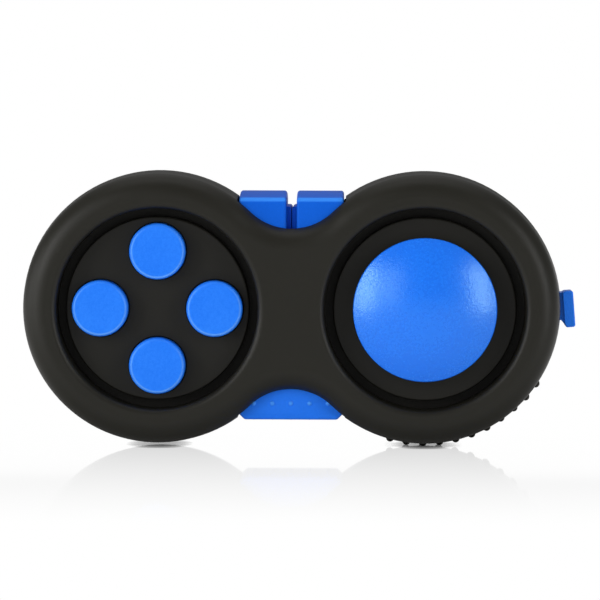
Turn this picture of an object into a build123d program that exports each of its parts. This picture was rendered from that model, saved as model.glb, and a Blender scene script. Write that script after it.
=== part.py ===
from build123d import *

import os
from math import cos, radians, sin, sqrt

# A two-lobed fidget pad, held like a small game controller. It stands on the rims of its lobes.
#
# Frame: +X to the right, +Z up, the front faces -Y. The origin is the centre of the flat rear face.
# Every "height" below is a distance from that rear face towards the front, so y = -height.
# All sizes are millimetres and degrees.

# Casing: two lobes joined by a waist, moulded as a front and a rear shell
lobe_radius = 20.25  # at the parting line
lobe_offset = 19.75  # from the middle of the pad to a lobe's axis
waist_half_width = 12.3  # at the parting line
front_half_depth = 11.0
rear_half_depth = 11.0
rim_band = 2.5  # straight part of the rim on each side of the parting line
draft_angle = 3.7
front_edge_round = 3.2
rear_edge_round = 2.0
wall = 2.0
panel = 2.4
seam_chamfer = 0.2
tongue_thickness = 0.9
tongue_height = 1.2

# Wells in the front, one in each lobe, and the decks that close them
well_radius = 14.85
well_edge_round = 0.9
skirt_wall = 1.2
groove_depth = 6.2  # from the front face down to the decks' flanges
deck_radius = 13.6
deck_drop = 3.5  # from the front face down to the decks
deck_plate = 1.5
deck_flange = 1.5
deck_rim_wall = 1.4
deck_edge_round = 0.3
bore_edge_round = 0.15
guide_wall = 1.05
clamp_post_radius = 0.9
clamp_post_angles = (30, 120, 240, 330)  # from a lobe's outward direction

# Running and assembly clearances
running_gap = 0.05
guide_gap = 0.10
fixed_gap = 0.02
fitting_gap = 0.25

# Screws
casing_screw_radius = 0.8
casing_screw_length = 14.0
screw_head_radius = 1.25
screw_head_height = 1.2
counterbore_depth = 2.2
casing_boss_radius = 1.6
screw_slot_width = 0.4
screw_slot_length = 1.5
casing_boss_angle = 45.0  # either side of a lobe's outward direction
waist_boss_offset = 6.0
deck_screw_radius = 0.7
deck_screw_length = 5.2
deck_screw_head_radius = 1.3
deck_screw_head_height = 0.8
deck_post_radius = 1.6

# Four push buttons on the left lobe
button_radius = 4.15
button_pitch_radius = 8.45
button_stand = 2.5  # above the deck
button_flange_radius = 4.9
button_flange = 1.0
button_edge_round = 0.6
button_core_inner = 2.0
button_core_outer = 3.1
button_core_depth = 4.5
board_radius = 13.0
board_thickness = 1.4
membrane_thickness = 0.8
dome_base_radius = 3.4
dome_top_radius = 1.7
dome_wall = 0.5
dome_height = 2.2
soft_gap = 0.2
board_post_pitch = 11.0

# Joystick on the right lobe
cap_radius = 10.6
cap_stand = 2.5  # cap edge above the deck
cap_edge = 0.7
cap_edge_round = 0.25
cap_rise = 3.0
cap_wall = 1.4
cap_inner_edge = 0.01
cap_hub_radius = 3.6
cap_socket_drop = 1.0  # how far the socket hangs below the cap's edge
pivot_depth = 10.0  # from the front face down to the tilt axes
stem_radius = 2.4
spigot_radius = 1.8
spigot_height = 3.0
stem_hole_radius = 4.6
foot_radius = 3.0
foot_thickness = 0.8
foot_drop = 2.6
ring_outer_radius = 5.6
ring_inner_radius = 3.9
ring_height = 2.4
trunnion_radius = 0.9
trunnion_length = 2.2
trunnion_root = 0.3  # sunk into the ring, and the pin's ends stay this far inside it
ear_thickness = 2.0
ear_half_width = 1.9
ear_gap = 0.6
stick_pin_radius = 0.7
base_radius = 8.8
base_thickness = 1.4
base_depth = 15.0  # from the front face down to the base's seat
base_post_pitch = 9.5
base_ear_radius = 2.2
stick_spring_radius = 2.0
stick_spring_wire = 0.45
stick_spring_turns = 3
spring_wire_sides = 8
spring_seat_depth = 0.4

# Two keys in the top of the waist
key_half_gap = 0.775  # from the middle of the pad to a key's upper part
key_outer = 7.7
key_top = 17.3
key_crown = 0.95
key_ledge = 15.1
key_bottom = 9.4
key_skirt_half_gap = 0.06
key_recess = 2.0  # how far the inner skirts stand back from the front faces
key_side_gap = 0.2
key_wall = 1.1
key_roof = 1.6
key_edge_round = 0.4
key_front_round = 0.85
key_travel = 1.5
window_half_width = 8.0
window_inset = 2.6  # how far inside the outline a window begins
lug_width = 3.0
lug_height = 1.2
lug_reach = 0.9
lug_inner = 1.3
key_spring_x = 4.25
key_spring_radius = 1.75
key_spring_wire = 0.45
key_spring_turns = 5
spring_post_radius = 1.2
spring_post_length = 1.5
shelf_thickness = 1.0
shelf_half_width = 2.2
shelf_reach = 13.6

# Fixed grip pad in the bottom of the waist
grip_outer = 7.75
grip_bottom = 16.4
grip_top = 9.4
grip_chamfer = 0.9
grip_side_gap = 0.3
grip_bump_radius = 0.5
grip_bump_height = 0.2
grip_bump_pitch = 2.75
grip_bump_columns = 5
grip_bump_rows = 5
grip_front_bump_z = -14.0

# Bumps on the rim of the right lobe
rim_bump_radius = 0.6
rim_bump_height = 0.4
rim_bump_count = 11
rim_bump_first = -34.0
rim_bump_pitch = 7.06
rim_bump_rows = (1.3, 3.9)  # from the parting line, on each shell

# Flip toggle on the end of the right lobe
toggle_pivot_inset = 3.1  # inside the lobe's outline
toggle_pivot_z = -0.48
toggle_hub_radius = 1.9
toggle_width = 5.0
toggle_lean = 4.4
toggle_throw = 11.0
toggle_neck_length = 3.1
toggle_neck_top = 2.5
toggle_neck_bottom = -1.55
toggle_neck_start = 2.1
toggle_neck_recess = 0.6  # behind the head's faces
toggle_head_start = 3.67
toggle_head_thickness = 1.5
toggle_head_half = 2.7
toggle_head_round = 0.35
toggle_side_round = 0.2
toggle_notch_radius = 0.75
toggle_pin_radius = 0.75
toggle_pin_length = 9.2
toggle_boss_radius = 1.6
toggle_window_half = 2.6
toggle_window_rise = 0.4  # of the window's middle over the pivot
toggle_window_depth = 8.0
toggle_side_gap = 0.15
leaf_thickness = 0.25
leaf_width = 3.2
leaf_half_length = 4.9
leaf_nose_radius = 0.5
leaf_anchor_offset = 4.6
leaf_anchor_width = 1.6
leaf_anchor_thickness = 1.8

# Spinning dial and worry pad in two pockets in the rear
pocket_radius = 13.4
pocket_depth = 2.6
pocket_wall = 1.2
pocket_floor = 1.6
pocket_edge_round = 0.5
dial_rim_gap = 0.4
dial_recess = 0.3
dial_gap = 0.2
dial_hub_radius = 3.0
dial_edge_round = 0.4
dial_dimples = 6
dial_dimple_pitch = 8.6
dial_dimple_radius = 2.3
dial_dimple_depth = 0.8
washer_radius = 4.5
washer_thickness = 0.6
dial_screw_depth = 2.8
worry_rim_gap = 0.1
worry_recess = 0.2
worry_dish_radius = 11.5
worry_dish_depth = 1.4
worry_edge_round = 0.3
peg_radius = 0.9
peg_pitch = 9.0
peg_head_radius = 1.4
peg_head_height = 0.5

# Heights and radii that follow from the sizes above
casing_depth = front_half_depth + rear_half_depth
parting = rear_half_depth
front_inner = casing_depth - panel
skirt_outer = well_radius + skirt_wall
flange_top = casing_depth - groove_depth
flange_bottom = flange_top - deck_flange
deck_top = casing_depth - deck_drop
deck_underside = deck_top - deck_plate
pocket_inner = pocket_depth + pocket_floor
casing_boss_pitch = lobe_radius - wall - casing_boss_radius - running_gap  # from a lobe's axis
shelf_top = key_bottom - key_travel - fitting_gap

left_lobe = (-lobe_offset, 0)
right_lobe = (lobe_offset, 0)
lobes = (left_lobe, right_lobe)


def around(centre, radius, angle):
    """Point at an angle and distance from a centre, seen from the front."""
    return (centre[0] + radius * cos(radians(angle)), centre[1] + radius * sin(radians(angle)))


def outward(centre, radius, angle):
    """Point at an angle from a lobe's own outward direction."""
    return around(centre, radius, angle if centre[0] > 0 else 180 - angle)


def cylinder(centres, radius, low, high, mode=Mode.ADD):
    """Discs, bosses or bores along Y between two heights, in the active part."""
    with BuildSketch(Plane.XZ.offset(low)) as profile:
        with Locations(*centres):
            Circle(radius)
    extrude(profile.sketch, amount=high - low, mode=mode)


def block(centre, width, height, low, high, mode=Mode.ADD):
    """A rectangular block along Y between two heights, in the active part."""
    with BuildSketch(Plane.XZ.offset(low)) as profile:
        with Locations(centre):
            Rectangle(width, height)
    extrude(profile.sketch, amount=high - low, mode=mode)


def round_mouths(face, radius):
    """Rounds the mouths of all holes in a face."""
    fillet([edge for mouth in face.inner_wires() for edge in mouth.edges()], radius)


def casing_outline(inset):
    """Two lobes joined by tangent concave arcs, drawn in the active sketch."""
    lobe = lobe_radius - inset
    waist = waist_half_width - inset
    neck = (lobe_offset**2 + waist**2 - lobe**2) / (2 * (lobe - waist))
    touch_x = lobe_offset * neck / (lobe + neck)
    touch_z = (waist + neck) * lobe / (lobe + neck)
    tip = lobe_offset + lobe
    with BuildLine() as outline:
        ThreePointArc((-touch_x, touch_z), (0, waist), (touch_x, touch_z))
        ThreePointArc((touch_x, touch_z), (tip, 0), (touch_x, -touch_z))
        ThreePointArc((touch_x, -touch_z), (0, -waist), (-touch_x, -touch_z))
        ThreePointArc((-touch_x, -touch_z), (-tip, 0), (-touch_x, touch_z))
    make_face(outline.edges())


def drafted(inset, facing, reach, mode=Mode.ADD):
    """The casing outline from the parting line: straight over the rim band, then drafted."""
    start = Plane(origin=(0, -parting, 0), x_dir=(1, 0, 0), z_dir=(0, facing, 0))
    with BuildSketch(start) as band:
        casing_outline(inset)
    extrude(band.sketch, amount=rim_band, mode=mode)
    with BuildSketch(start.offset(rim_band)) as flank:
        casing_outline(inset)
    extrude(flank.sketch, amount=reach - rim_band, taper=draft_angle, mode=mode)


def outline_ring(inset, low, high, mode=Mode.ADD):
    """A ring along the casing's inner wall, out to an inset from the outline."""
    with BuildSketch(Plane.XZ.offset(low)) as ring:
        casing_outline(inset)
    with BuildSketch(Plane.XZ.offset(low)) as inside:
        casing_outline(wall)
    extrude(ring.sketch - inside.sketch, amount=high - low, mode=mode)


def waist_windows(low, high):
    """Openings in the rim for the keys above and the grip pad below."""
    reach = lobe_radius + wall
    start = waist_half_width - window_inset
    for side in (1, -1):
        with BuildSketch(Plane.XZ.offset(low)) as window:
            with Locations((0, side * (start + reach) / 2)):
                Rectangle(2 * window_half_width, reach - start)
            with Locations(*lobes):
                Circle(skirt_outer + skirt_wall / 2, mode=Mode.SUBTRACT)
        extrude(window.sketch, amount=high - low, mode=Mode.SUBTRACT)


lug_low = key_bottom + 0.2
key_lug_x = lug_inner + lug_width / 2


def lug_slots(low, high):
    """Blind slots in a panel that guide the keys' lugs and hold the grip pad's."""
    slot_low = lug_low - key_travel - guide_gap
    slot_high = lug_low + lug_height + guide_gap
    for side in (-1, 1):
        centre = (side * key_lug_x, (slot_low + slot_high) / 2)
        block(centre, lug_width + 2 * guide_gap, slot_high - slot_low, low, high, Mode.SUBTRACT)
        centre = (side * key_lug_x, -lug_low - lug_height / 2)
        width = lug_width + 2 * guide_gap
        block(centre, width, lug_height + 2 * guide_gap, low, high, Mode.SUBTRACT)


def rim_bumps(facing):
    """Rows of small domes on the lower rim of the right lobe."""
    for row in rim_bump_rows:
        inset = max(0, row - rim_band) * sin(radians(draft_angle))
        seat = lobe_radius - inset - (rim_bump_radius - rim_bump_height)
        y = -parting + facing * row
        for step in range(rim_bump_count):
            x, z = around(right_lobe, seat, rim_bump_first - step * rim_bump_pitch)
            with Locations((x, y, z)):
                Sphere(rim_bump_radius)


casing_bosses = [(0, waist_boss_offset), (0, -waist_boss_offset)]
for lobe_centre in lobes:
    for turn in (-casing_boss_angle, casing_boss_angle):
        casing_bosses.append(outward(lobe_centre, casing_boss_pitch, turn))
clamp_posts = []
for lobe_centre in lobes:
    for turn in clamp_post_angles:
        pitch = skirt_outer - clamp_post_radius
        clamp_posts.append(outward(lobe_centre, pitch, turn))
toggle_pivot = (lobe_offset + lobe_radius - toggle_pivot_inset, toggle_pivot_z)
toggle_low = parting - toggle_width / 2 - toggle_side_gap
toggle_high = parting + toggle_width / 2 + toggle_side_gap
toggle_window_x = lobe_offset + lobe_radius

# Front shell
with BuildPart() as front_shell:
    drafted(0, -1, front_half_depth)
    fillet(front_shell.faces().sort_by(Axis.Y)[0].edges(), front_edge_round)
    chamfer(front_shell.faces().sort_by(Axis.Y)[-1].edges(), seam_chamfer)
    drafted(wall, -1, front_half_depth - panel, Mode.SUBTRACT)
    cylinder(lobes, skirt_outer, flange_top, front_inner)
    cylinder(casing_bosses, casing_boss_radius, parting, front_inner)
    cylinder([toggle_pivot], toggle_boss_radius, toggle_high, front_inner)
    cylinder(lobes, well_radius, flange_top, casing_depth, Mode.SUBTRACT)
    pin_top = parting + toggle_pin_length / 2 + fixed_gap
    pin_bore = toggle_pin_radius + fixed_gap
    cylinder([toggle_pivot], pin_bore, toggle_high, pin_top, Mode.SUBTRACT)
    round_mouths(front_shell.faces().sort_by(Axis.Y)[0], well_edge_round)
    lip_inset = wall - tongue_thickness
    outline_ring(lip_inset, parting - tongue_height, parting)
    screw_tip = counterbore_depth + casing_screw_length
    pilot = casing_screw_radius + fixed_gap
    pilot_top = screw_tip + fitting_gap
    cylinder(casing_bosses, pilot, parting - tongue_height, pilot_top, Mode.SUBTRACT)
    waist_windows(parting - tongue_height, front_inner)
    lug_slots(front_inner, front_inner + lug_reach + guide_gap)
    block(
        (toggle_window_x, toggle_pivot_z + toggle_window_rise),
        toggle_window_depth,
        2 * toggle_window_half,
        parting - tongue_height,
        toggle_high,
        Mode.SUBTRACT,
    )
    rim_bumps(-1)

# Rear shell
with BuildPart() as rear_shell:
    drafted(0, 1, rear_half_depth)
    fillet(rear_shell.faces().sort_by(Axis.Y)[-1].edges(), rear_edge_round)
    chamfer(rear_shell.faces().sort_by(Axis.Y)[0].edges(), seam_chamfer)
    drafted(wall, 1, rear_half_depth - panel, Mode.SUBTRACT)
    cylinder(lobes, pocket_radius + pocket_wall, 0, pocket_inner)
    cylinder(casing_bosses, casing_boss_radius, panel, parting)
    cylinder(clamp_posts, clamp_post_radius, panel, flange_bottom)
    cylinder([toggle_pivot], toggle_boss_radius, panel, toggle_low)
    for side in (-1, 1):
        shelf_centre = (side * key_spring_x, shelf_top - shelf_thickness / 2)
        block(shelf_centre, 2 * shelf_half_width, shelf_thickness, panel, shelf_reach)
        web_height = shelf_top / 3
        web_centre = (side * key_spring_x, shelf_top - shelf_thickness - web_height / 2)
        block(web_centre, shelf_thickness, web_height, panel, parting)
        anchor_z = toggle_pivot_z + side * leaf_anchor_offset
        anchor_x = toggle_pivot[0] - toggle_hub_radius - leaf_nose_radius - leaf_thickness / 2
        anchor_top = parting + leaf_width / 2 + fitting_gap
        block((anchor_x, anchor_z), leaf_anchor_thickness, leaf_anchor_width, panel, anchor_top)
    # Pockets for the dial and the worry pad, with a bearing bore and peg holes
    cylinder(lobes, pocket_radius, 0, pocket_depth, Mode.SUBTRACT)
    round_mouths(rear_shell.faces().sort_by(Axis.Y)[-1], pocket_edge_round)
    hub_bore = dial_hub_radius + running_gap
    cylinder([left_lobe], hub_bore, pocket_depth, pocket_inner, Mode.SUBTRACT)
    peg_places = [around(right_lobe, peg_pitch, turn) for turn in (0, 120, 240)]
    cylinder(peg_places, peg_radius + running_gap, pocket_depth, pocket_inner, Mode.SUBTRACT)
    # Screw holes, counterbored from the rear
    cylinder(casing_bosses, casing_screw_radius + guide_gap, 0, parting, Mode.SUBTRACT)
    cylinder(casing_bosses, screw_head_radius + guide_gap, 0, counterbore_depth, Mode.SUBTRACT)
    pin_bottom = parting - toggle_pin_length / 2 - fixed_gap
    cylinder([toggle_pivot], pin_bore, pin_bottom, toggle_low, Mode.SUBTRACT)
    # Slots that hold the ends of the toggle's leaf spring
    leaf_slot = leaf_thickness + 2 * running_gap
    slot_low = parting - leaf_width / 2 - running_gap
    for side in (-1, 1):
        anchor_z = toggle_pivot_z + side * leaf_anchor_offset
        slot_height = 2 * leaf_anchor_width
        block((anchor_x, anchor_z), leaf_slot, slot_height, slot_low, anchor_top, Mode.SUBTRACT)
    # Rebate for the front shell's tongue
    outline_ring(lip_inset - guide_gap, parting - tongue_height - guide_gap, parting, Mode.SUBTRACT)
    waist_windows(panel, parting)
    lug_slots(panel - lug_reach - guide_gap, panel)
    block(
        (toggle_window_x, toggle_pivot_z + toggle_window_rise),
        toggle_window_depth,
        2 * toggle_window_half,
        toggle_low,
        parting,
        Mode.SUBTRACT,
    )
    rim_bumps(1)

# Casing screws, driven from the rear
with BuildPart() as casing_screws:
    head_low = counterbore_depth - screw_head_height
    cylinder(casing_bosses, screw_head_radius, head_low, counterbore_depth)
    slot_depth = screw_head_height / 2
    for centre in casing_bosses:
        for width, height in ((screw_slot_length, screw_slot_width), (screw_slot_width, screw_slot_length)):
            block(centre, width, height, head_low, head_low + slot_depth, Mode.SUBTRACT)
    cylinder(casing_bosses, casing_screw_radius, counterbore_depth, screw_tip)


def clear_bosses(low, high):
    """Notches around the casing's bosses for a disc inside the casing, in the active part."""
    cylinder(casing_bosses, casing_boss_radius + fitting_gap, low, high, Mode.SUBTRACT)


def deck_body(deck, centre):
    """A deck's raised disc with a rounded edge, and its flange."""
    cylinder([centre], deck_radius, flange_bottom, deck_top)
    fillet(deck.faces().sort_by(Axis.Y)[0].edges(), deck_edge_round)
    cylinder([centre], skirt_outer, flange_bottom, flange_top)
    clear_bosses(flange_bottom, flange_top)


board_posts = [around(left_lobe, board_post_pitch, turn) for turn in (45, 135, 225, 315)]
button_places = {
    "right": around(left_lobe, button_pitch_radius, 0),
    "top": around(left_lobe, button_pitch_radius, 90),
    "left": around(left_lobe, button_pitch_radius, 180),
    "bottom": around(left_lobe, button_pitch_radius, 270),
}
button_head = deck_top + button_stand
button_flange_top = flange_bottom - guide_gap
button_bottom = button_flange_top - button_flange
dome_top = button_bottom - soft_gap
membrane_top = dome_top - dome_height
board_top = membrane_top - membrane_thickness
board_bottom = board_top - board_thickness
deck_screw_pilot = deck_screw_radius + fixed_gap

# Button deck: a cored disc with a guide bore for each button and posts for the board
with BuildPart() as button_deck:
    deck_body(button_deck, left_lobe)
    with BuildSketch(Plane.XZ.offset(flange_bottom)):
        with Locations(left_lobe):
            Circle(deck_radius - deck_rim_wall)
        with Locations(*button_places.values()):
            Circle(button_radius + guide_wall, mode=Mode.SUBTRACT)
    extrude(amount=deck_underside - flange_bottom, mode=Mode.SUBTRACT)
    cylinder(board_posts, deck_post_radius, board_top, deck_underside)
    cylinder(button_places.values(), button_radius + guide_gap, flange_bottom, deck_top, Mode.SUBTRACT)
    round_mouths(button_deck.faces().sort_by(Axis.Y)[0], bore_edge_round)
    post_pilot_top = board_top + deck_screw_length - board_thickness + fitting_gap
    cylinder(board_posts, deck_screw_pilot, board_top, post_pilot_top, Mode.SUBTRACT)


def push_button(centre):
    """A button cap with its retaining flange and a cored underside."""
    with BuildPart() as button:
        cylinder([centre], button_radius, button_flange_top, button_head)
        fillet(button.faces().sort_by(Axis.Y)[0].edges(), button_edge_round)
        cylinder([centre], button_flange_radius, button_bottom, button_flange_top)
        with BuildSketch(Plane.XZ.offset(button_bottom)):
            with Locations(centre):
                Circle(button_core_outer)
                Circle(button_core_inner, mode=Mode.SUBTRACT)
        extrude(amount=button_core_depth, mode=Mode.SUBTRACT)
    return button.part


buttons = {f"button_{name}": push_button(place) for name, place in button_places.items()}

# Rubber membrane: one sheet with a collapsing dome under each button
with BuildPart() as dome_membrane:
    cylinder([left_lobe], board_radius, board_top, membrane_top)
    dome_mouth = dome_base_radius - dome_wall
    cylinder(button_places.values(), dome_mouth, board_top, membrane_top, Mode.SUBTRACT)
    for place in button_places.values():
        foot = (place[0], -membrane_top, place[1])
        with BuildSketch(Plane(origin=foot, x_dir=(1, 0, 0), z_dir=(0, 0, -1))):
            with BuildLine():
                Polyline(
                    (dome_mouth, 0),
                    (dome_base_radius, 0),
                    (dome_top_radius, dome_height),
                    (0, dome_height),
                    (0, dome_height - dome_wall),
                    (dome_top_radius - dome_wall, dome_height - dome_wall),
                    close=True,
                )
            make_face()
        revolve(axis=Axis(foot, (0, -1, 0)))
    cylinder(board_posts, deck_post_radius + fitting_gap, board_top, membrane_top, Mode.SUBTRACT)
    clear_bosses(board_top, membrane_top)

# Backing board under the membrane
with BuildPart() as backing_board:
    cylinder([left_lobe], board_radius, board_bottom, board_top)
    cylinder(board_posts, deck_screw_radius + guide_gap, board_bottom, board_top, Mode.SUBTRACT)
    clear_bosses(board_bottom, board_top)

# Joystick deck: a cored disc with two trunnion ears and two posts for the base
pivot = casing_depth - pivot_depth
base_seat = casing_depth - base_depth
base_bottom = base_seat - base_thickness
base_posts = [around(right_lobe, base_post_pitch, turn) for turn in (90, 270)]
ear_inner = ring_outer_radius + ear_gap

with BuildPart() as joystick_deck:
    deck_body(joystick_deck, right_lobe)
    toggle_notch = toggle_boss_radius + fitting_gap
    cylinder([toggle_pivot], toggle_notch, flange_bottom, flange_top, Mode.SUBTRACT)
    cylinder([right_lobe], deck_radius - deck_rim_wall, flange_bottom, deck_underside, Mode.SUBTRACT)
    cylinder(base_posts, deck_post_radius, base_seat, deck_underside)
    for side in (-1, 1):
        ear_x = lobe_offset + side * ear_inner
        with BuildSketch(Plane.YZ.offset(min(ear_x, ear_x + side * ear_thickness))):
            with Locations((-(pivot + deck_underside) / 2, 0)):
                Rectangle(deck_underside - pivot, 2 * ear_half_width)
            with Locations((-pivot, 0)):
                Circle(ear_half_width)
                Circle(trunnion_radius + running_gap, mode=Mode.SUBTRACT)
        extrude(amount=ear_thickness)
    cylinder([right_lobe], stem_hole_radius, flange_bottom, deck_top, Mode.SUBTRACT)
    round_mouths(joystick_deck.faces().sort_by(Axis.Y)[0], bore_edge_round)
    base_pilot_top = base_bottom + deck_screw_length + fitting_gap
    cylinder(base_posts, deck_screw_pilot, base_seat, base_pilot_top, Mode.SUBTRACT)

# Gimbal ring: turns about X in the deck's ears and carries the stick's pin along Z
with BuildPart() as gimbal_ring:
    cylinder([right_lobe], ring_outer_radius, pivot - ring_height / 2, pivot + ring_height / 2)
    for side in (-1, 1):
        start = lobe_offset + side * (ring_outer_radius - trunnion_root)
        tip = lobe_offset + side * (ring_outer_radius + trunnion_length)
        with BuildSketch(Plane.YZ.offset(min(start, tip))):
            with Locations((-pivot, 0)):
                Circle(trunnion_radius)
        extrude(amount=abs(tip - start))
    cylinder(
        [right_lobe],
        ring_inner_radius,
        pivot - ring_height / 2,
        pivot + ring_height / 2,
        Mode.SUBTRACT,
    )
    with BuildSketch(Plane.XY.offset(-ring_outer_radius)):
        with Locations((lobe_offset, -pivot)):
            Circle(stick_pin_radius + running_gap)
    extrude(amount=2 * ring_outer_radius, mode=Mode.SUBTRACT)

# Stick: stem, foot and the spigot that carries the cap
cap_bottom = deck_top + cap_stand
shoulder = cap_bottom - cap_socket_drop
foot_bottom = pivot - foot_drop
with BuildPart() as joystick_stem:
    cylinder([right_lobe], stem_radius, foot_bottom, shoulder)
    cylinder([right_lobe], foot_radius, foot_bottom, foot_bottom + foot_thickness)
    cylinder([right_lobe], spigot_radius, shoulder, shoulder + spigot_height)
    with BuildSketch(Plane.XY.offset(-stem_radius)):
        with Locations((lobe_offset, -pivot)):
            Circle(stick_pin_radius + fixed_gap)
    extrude(amount=2 * stem_radius, mode=Mode.SUBTRACT)

stick_pin_half = ring_outer_radius - trunnion_root
with BuildPart() as stick_pin:
    with BuildSketch(Plane.XY.offset(-stick_pin_half)):
        with Locations((lobe_offset, -pivot)):
            Circle(stick_pin_radius)
    extrude(amount=2 * stick_pin_half)



def cap_profile(radius, edge, rise):
    """Half section of a dome over a short straight edge, in the active sketch."""
    sphere = (radius**2 + rise**2) / (2 * rise)
    middle_x = radius / 2
    middle_y = edge + rise - (sphere - sqrt(sphere**2 - middle_x**2))
    with BuildLine() as section:
        Polyline((0, edge + rise), (0, 0), (radius, 0), (radius, edge))
        ThreePointArc((radius, edge), (middle_x, middle_y), (0, edge + rise))
    make_face(section.edges())


# Joystick cap: a shallow hollow dome with a socket for the spigot
cap_plane = Plane(origin=(lobe_offset, -cap_bottom, 0), x_dir=(-1, 0, 0), z_dir=(0, 0, 1))
with BuildPart() as joystick_cap:
    with BuildSketch(cap_plane):
        cap_profile(cap_radius, cap_edge, cap_rise)
    revolve(axis=Axis((lobe_offset, 0, 0), (0, 1, 0)))
    rim_edges = joystick_cap.edges().filter_by(GeomType.CIRCLE).group_by(SortBy.LENGTH)[-1]
    fillet(rim_edges.sort_by(Axis.Y)[0], cap_edge_round)
    hollow_rise = cap_rise - cap_wall + cap_edge
    with BuildSketch(cap_plane):
        cap_profile(cap_radius - cap_wall, cap_inner_edge, hollow_rise)
    revolve(axis=Axis((lobe_offset, 0, 0), (0, 1, 0)), mode=Mode.SUBTRACT)
    cylinder([right_lobe], cap_hub_radius, shoulder, cap_bottom + hollow_rise)
    socket_top = shoulder + spigot_height + fitting_gap
    cylinder([right_lobe], spigot_radius + fixed_gap, shoulder, socket_top, Mode.SUBTRACT)

# Joystick base: carries the return spring, screwed to the deck's posts
spring_floor = base_seat - spring_seat_depth
with BuildPart() as joystick_base:
    cylinder([right_lobe], base_radius, base_bottom, base_seat)
    cylinder(base_posts, base_ear_radius, base_bottom, base_seat)
    seat_radius = stick_spring_radius + stick_spring_wire
    cylinder([right_lobe], seat_radius + fitting_gap, spring_floor, base_seat, Mode.SUBTRACT)
    cylinder(base_posts, deck_screw_radius + guide_gap, base_bottom, base_seat, Mode.SUBTRACT)

# Screws that hold the board and the base to the decks' posts
with BuildPart() as deck_screws:
    for places, seat in ((board_posts, board_bottom), (base_posts, base_bottom)):
        cylinder(places, deck_screw_head_radius, seat - deck_screw_head_height, seat)
        cylinder(places, deck_screw_radius, seat, seat + deck_screw_length)


def coil_spring(foot, direction, mean_radius, wire, length, turns):
    """A round-wire compression spring that stands on a point and fills a length."""
    rise = length - wire
    with BuildPart() as coil:
        with BuildLine():
            path = Helix(rise / turns, rise, mean_radius, center=foot, direction=direction)
        with BuildSketch(Plane(origin=path @ 0, z_dir=path % 0)):
            RegularPolygon(wire / 2, spring_wire_sides)
        sweep(is_frenet=True)
    return coil.part


lift = stick_spring_wire / 2
joystick_spring = coil_spring(
    (lobe_offset, -(spring_floor + lift), 0),
    (0, -1, 0),
    stick_spring_radius,
    stick_spring_wire,
    foot_bottom - spring_floor,
    stick_spring_turns,
)

# Keys: crowned along the depth, hollow below, guided by a lug at the front and one at the rear
key_front = front_inner - key_side_gap
key_rear = panel + key_side_gap
key_shoulder = key_top - key_crown
key_ceiling = key_shoulder - key_roof + key_crown / 2


def lug(centre, side_gap):
    """Lugs on the front and rear faces of a key or the grip pad, in the panels' slots."""
    block(centre, lug_width, lug_height, panel - lug_reach, panel + side_gap + key_wall)
    block(centre, lug_width, lug_height, front_inner - side_gap - key_wall, front_inner + lug_reach)


with BuildPart() as right_key:
    with BuildSketch(Plane.YZ.offset(key_skirt_half_gap)):
        with BuildLine():
            Polyline(
                (-key_front, key_shoulder),
                (-key_front, key_bottom),
                (-key_rear, key_bottom),
                (-key_rear, key_shoulder),
            )
            ThreePointArc(
                (-key_rear, key_shoulder),
                (-(key_front + key_rear) / 2, key_top),
                (-key_front, key_shoulder),
            )
        make_face()
    extrude(amount=key_outer - key_skirt_half_gap)
    step_width = key_half_gap - key_skirt_half_gap
    step_centre = (key_skirt_half_gap + step_width / 2, key_ledge + key_top / 2)
    block(step_centre, step_width, key_top, 0, casing_depth, Mode.SUBTRACT)
    block(step_centre, step_width, 2 * key_top, key_front - key_recess, key_front, Mode.SUBTRACT)
    fillet(right_key.faces().sort_by(Axis.Z)[-1].edges().filter_by(Axis.X), key_front_round)
    fillet(right_key.faces().sort_by(Axis.Z)[-1].edges().filter_by(GeomType.CIRCLE), key_edge_round)
    long_edges = right_key.edges().filter_by(Axis.Y)
    ledge_edges = long_edges.filter_by_position(Axis.Z, key_ledge - fixed_gap, key_ledge + fixed_gap)
    fillet(ledge_edges.sort_by(Axis.X)[0], key_edge_round)
    lobe_clearance = skirt_outer + key_travel + fitting_gap
    cylinder([right_lobe], lobe_clearance, 0, casing_depth, Mode.SUBTRACT)
    hollow_width = key_outer - key_half_gap - 2 * key_wall
    hollow_x = (key_outer + key_half_gap) / 2
    hollow_z = (key_ceiling + key_bottom) / 2
    block(
        (hollow_x, hollow_z),
        hollow_width,
        key_ceiling - key_bottom,
        key_rear + key_wall,
        key_front - key_wall,
        Mode.SUBTRACT,
    )
    with BuildSketch(Plane.XY.offset(key_ceiling - spring_post_length)):
        with Locations((key_spring_x, -parting)):
            Circle(spring_post_radius)
    extrude(amount=spring_post_length)
    lug((key_lug_x, lug_low + lug_height / 2), key_side_gap)

with BuildPart() as left_key:
    mirror(right_key.part, about=Plane.YZ)

key_springs = {
    f"{name}_key_spring": coil_spring(
        (side * key_spring_x, -parting, shelf_top + key_spring_wire / 2),
        (0, 0, 1),
        key_spring_radius,
        key_spring_wire,
        key_ceiling - shelf_top,
        key_spring_turns,
    )
    for name, side in (("left", -1), ("right", 1))
}

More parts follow.
